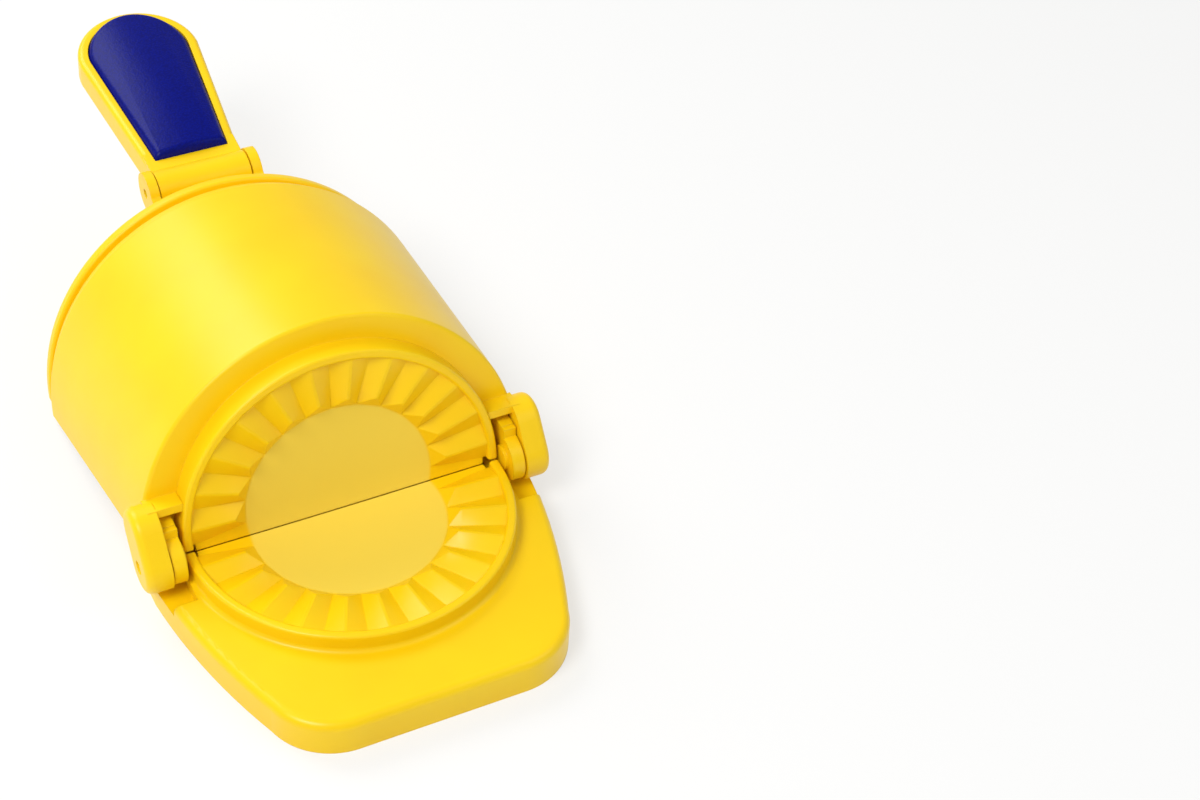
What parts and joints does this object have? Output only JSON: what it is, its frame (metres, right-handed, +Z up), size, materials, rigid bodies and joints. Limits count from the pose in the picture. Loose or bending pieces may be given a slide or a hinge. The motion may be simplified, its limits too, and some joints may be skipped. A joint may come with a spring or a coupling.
{
  "type": "empanada press",
  "caption": "Hand press for empanadas: flat base with a toothed dish, hinged rear leaf, half round drum and a folding handle with a soft pad.",
  "frame": {"origin": "on the table plane straight below the middle of the drum hinge, inside the flat underside of the base", "axes": "+X to the right along the hinge lines seen from the front, +Y from the front edge of the base towards the handle, +Z up from the table"},
  "size_m": [0.132, 0.2816, 0.0776],
  "materials": {
    "yellow_body": "glossy moulded",
    "yellow_drum": "satin moulded",
    "yellow_handle": "glossy moulded",
    "navy_pad": "soft grained",
    "pin_steel": "dark steel",
    "screw_steel": "bright steel"
  },
  "bodies": {
    "base": {"base": "yellow_body", "rear_pin_left": "pin_steel", "rear_pin_right": "pin_steel"},
    "leaf": {"rear_leaf": "yellow_body"},
    "drum": {"drum_shell": "yellow_drum", "back_cover": "yellow_body", "mid_pin_left": "pin_steel", "mid_pin_right": "pin_steel", "cover_screws": "screw_steel", "handle_pin": "pin_steel"},
    "handle": {"handle_frame": "yellow_handle", "grip_pad": "navy_pad"}
  },
  "joints": [
    {"name": "rear_hinge", "type": "hinge", "parent": "base", "child": "leaf", "pos_m": [0, 0.064, 0.0224], "axis": [-1, 0, 0], "range_deg": [0, 95]},
    {"name": "drum_hinge", "type": "hinge", "parent": "leaf", "child": "drum", "pos_m": [0, 0, 0.0182], "axis": [1, 0, 0], "range_deg": [0, 100]},
    {"name": "handle_hinge", "type": "hinge", "parent": "drum", "child": "handle", "pos_m": [0, 0.12373, 0.05477], "axis": [1, 0, 0], "range_deg": [0, 90]}
  ]
}
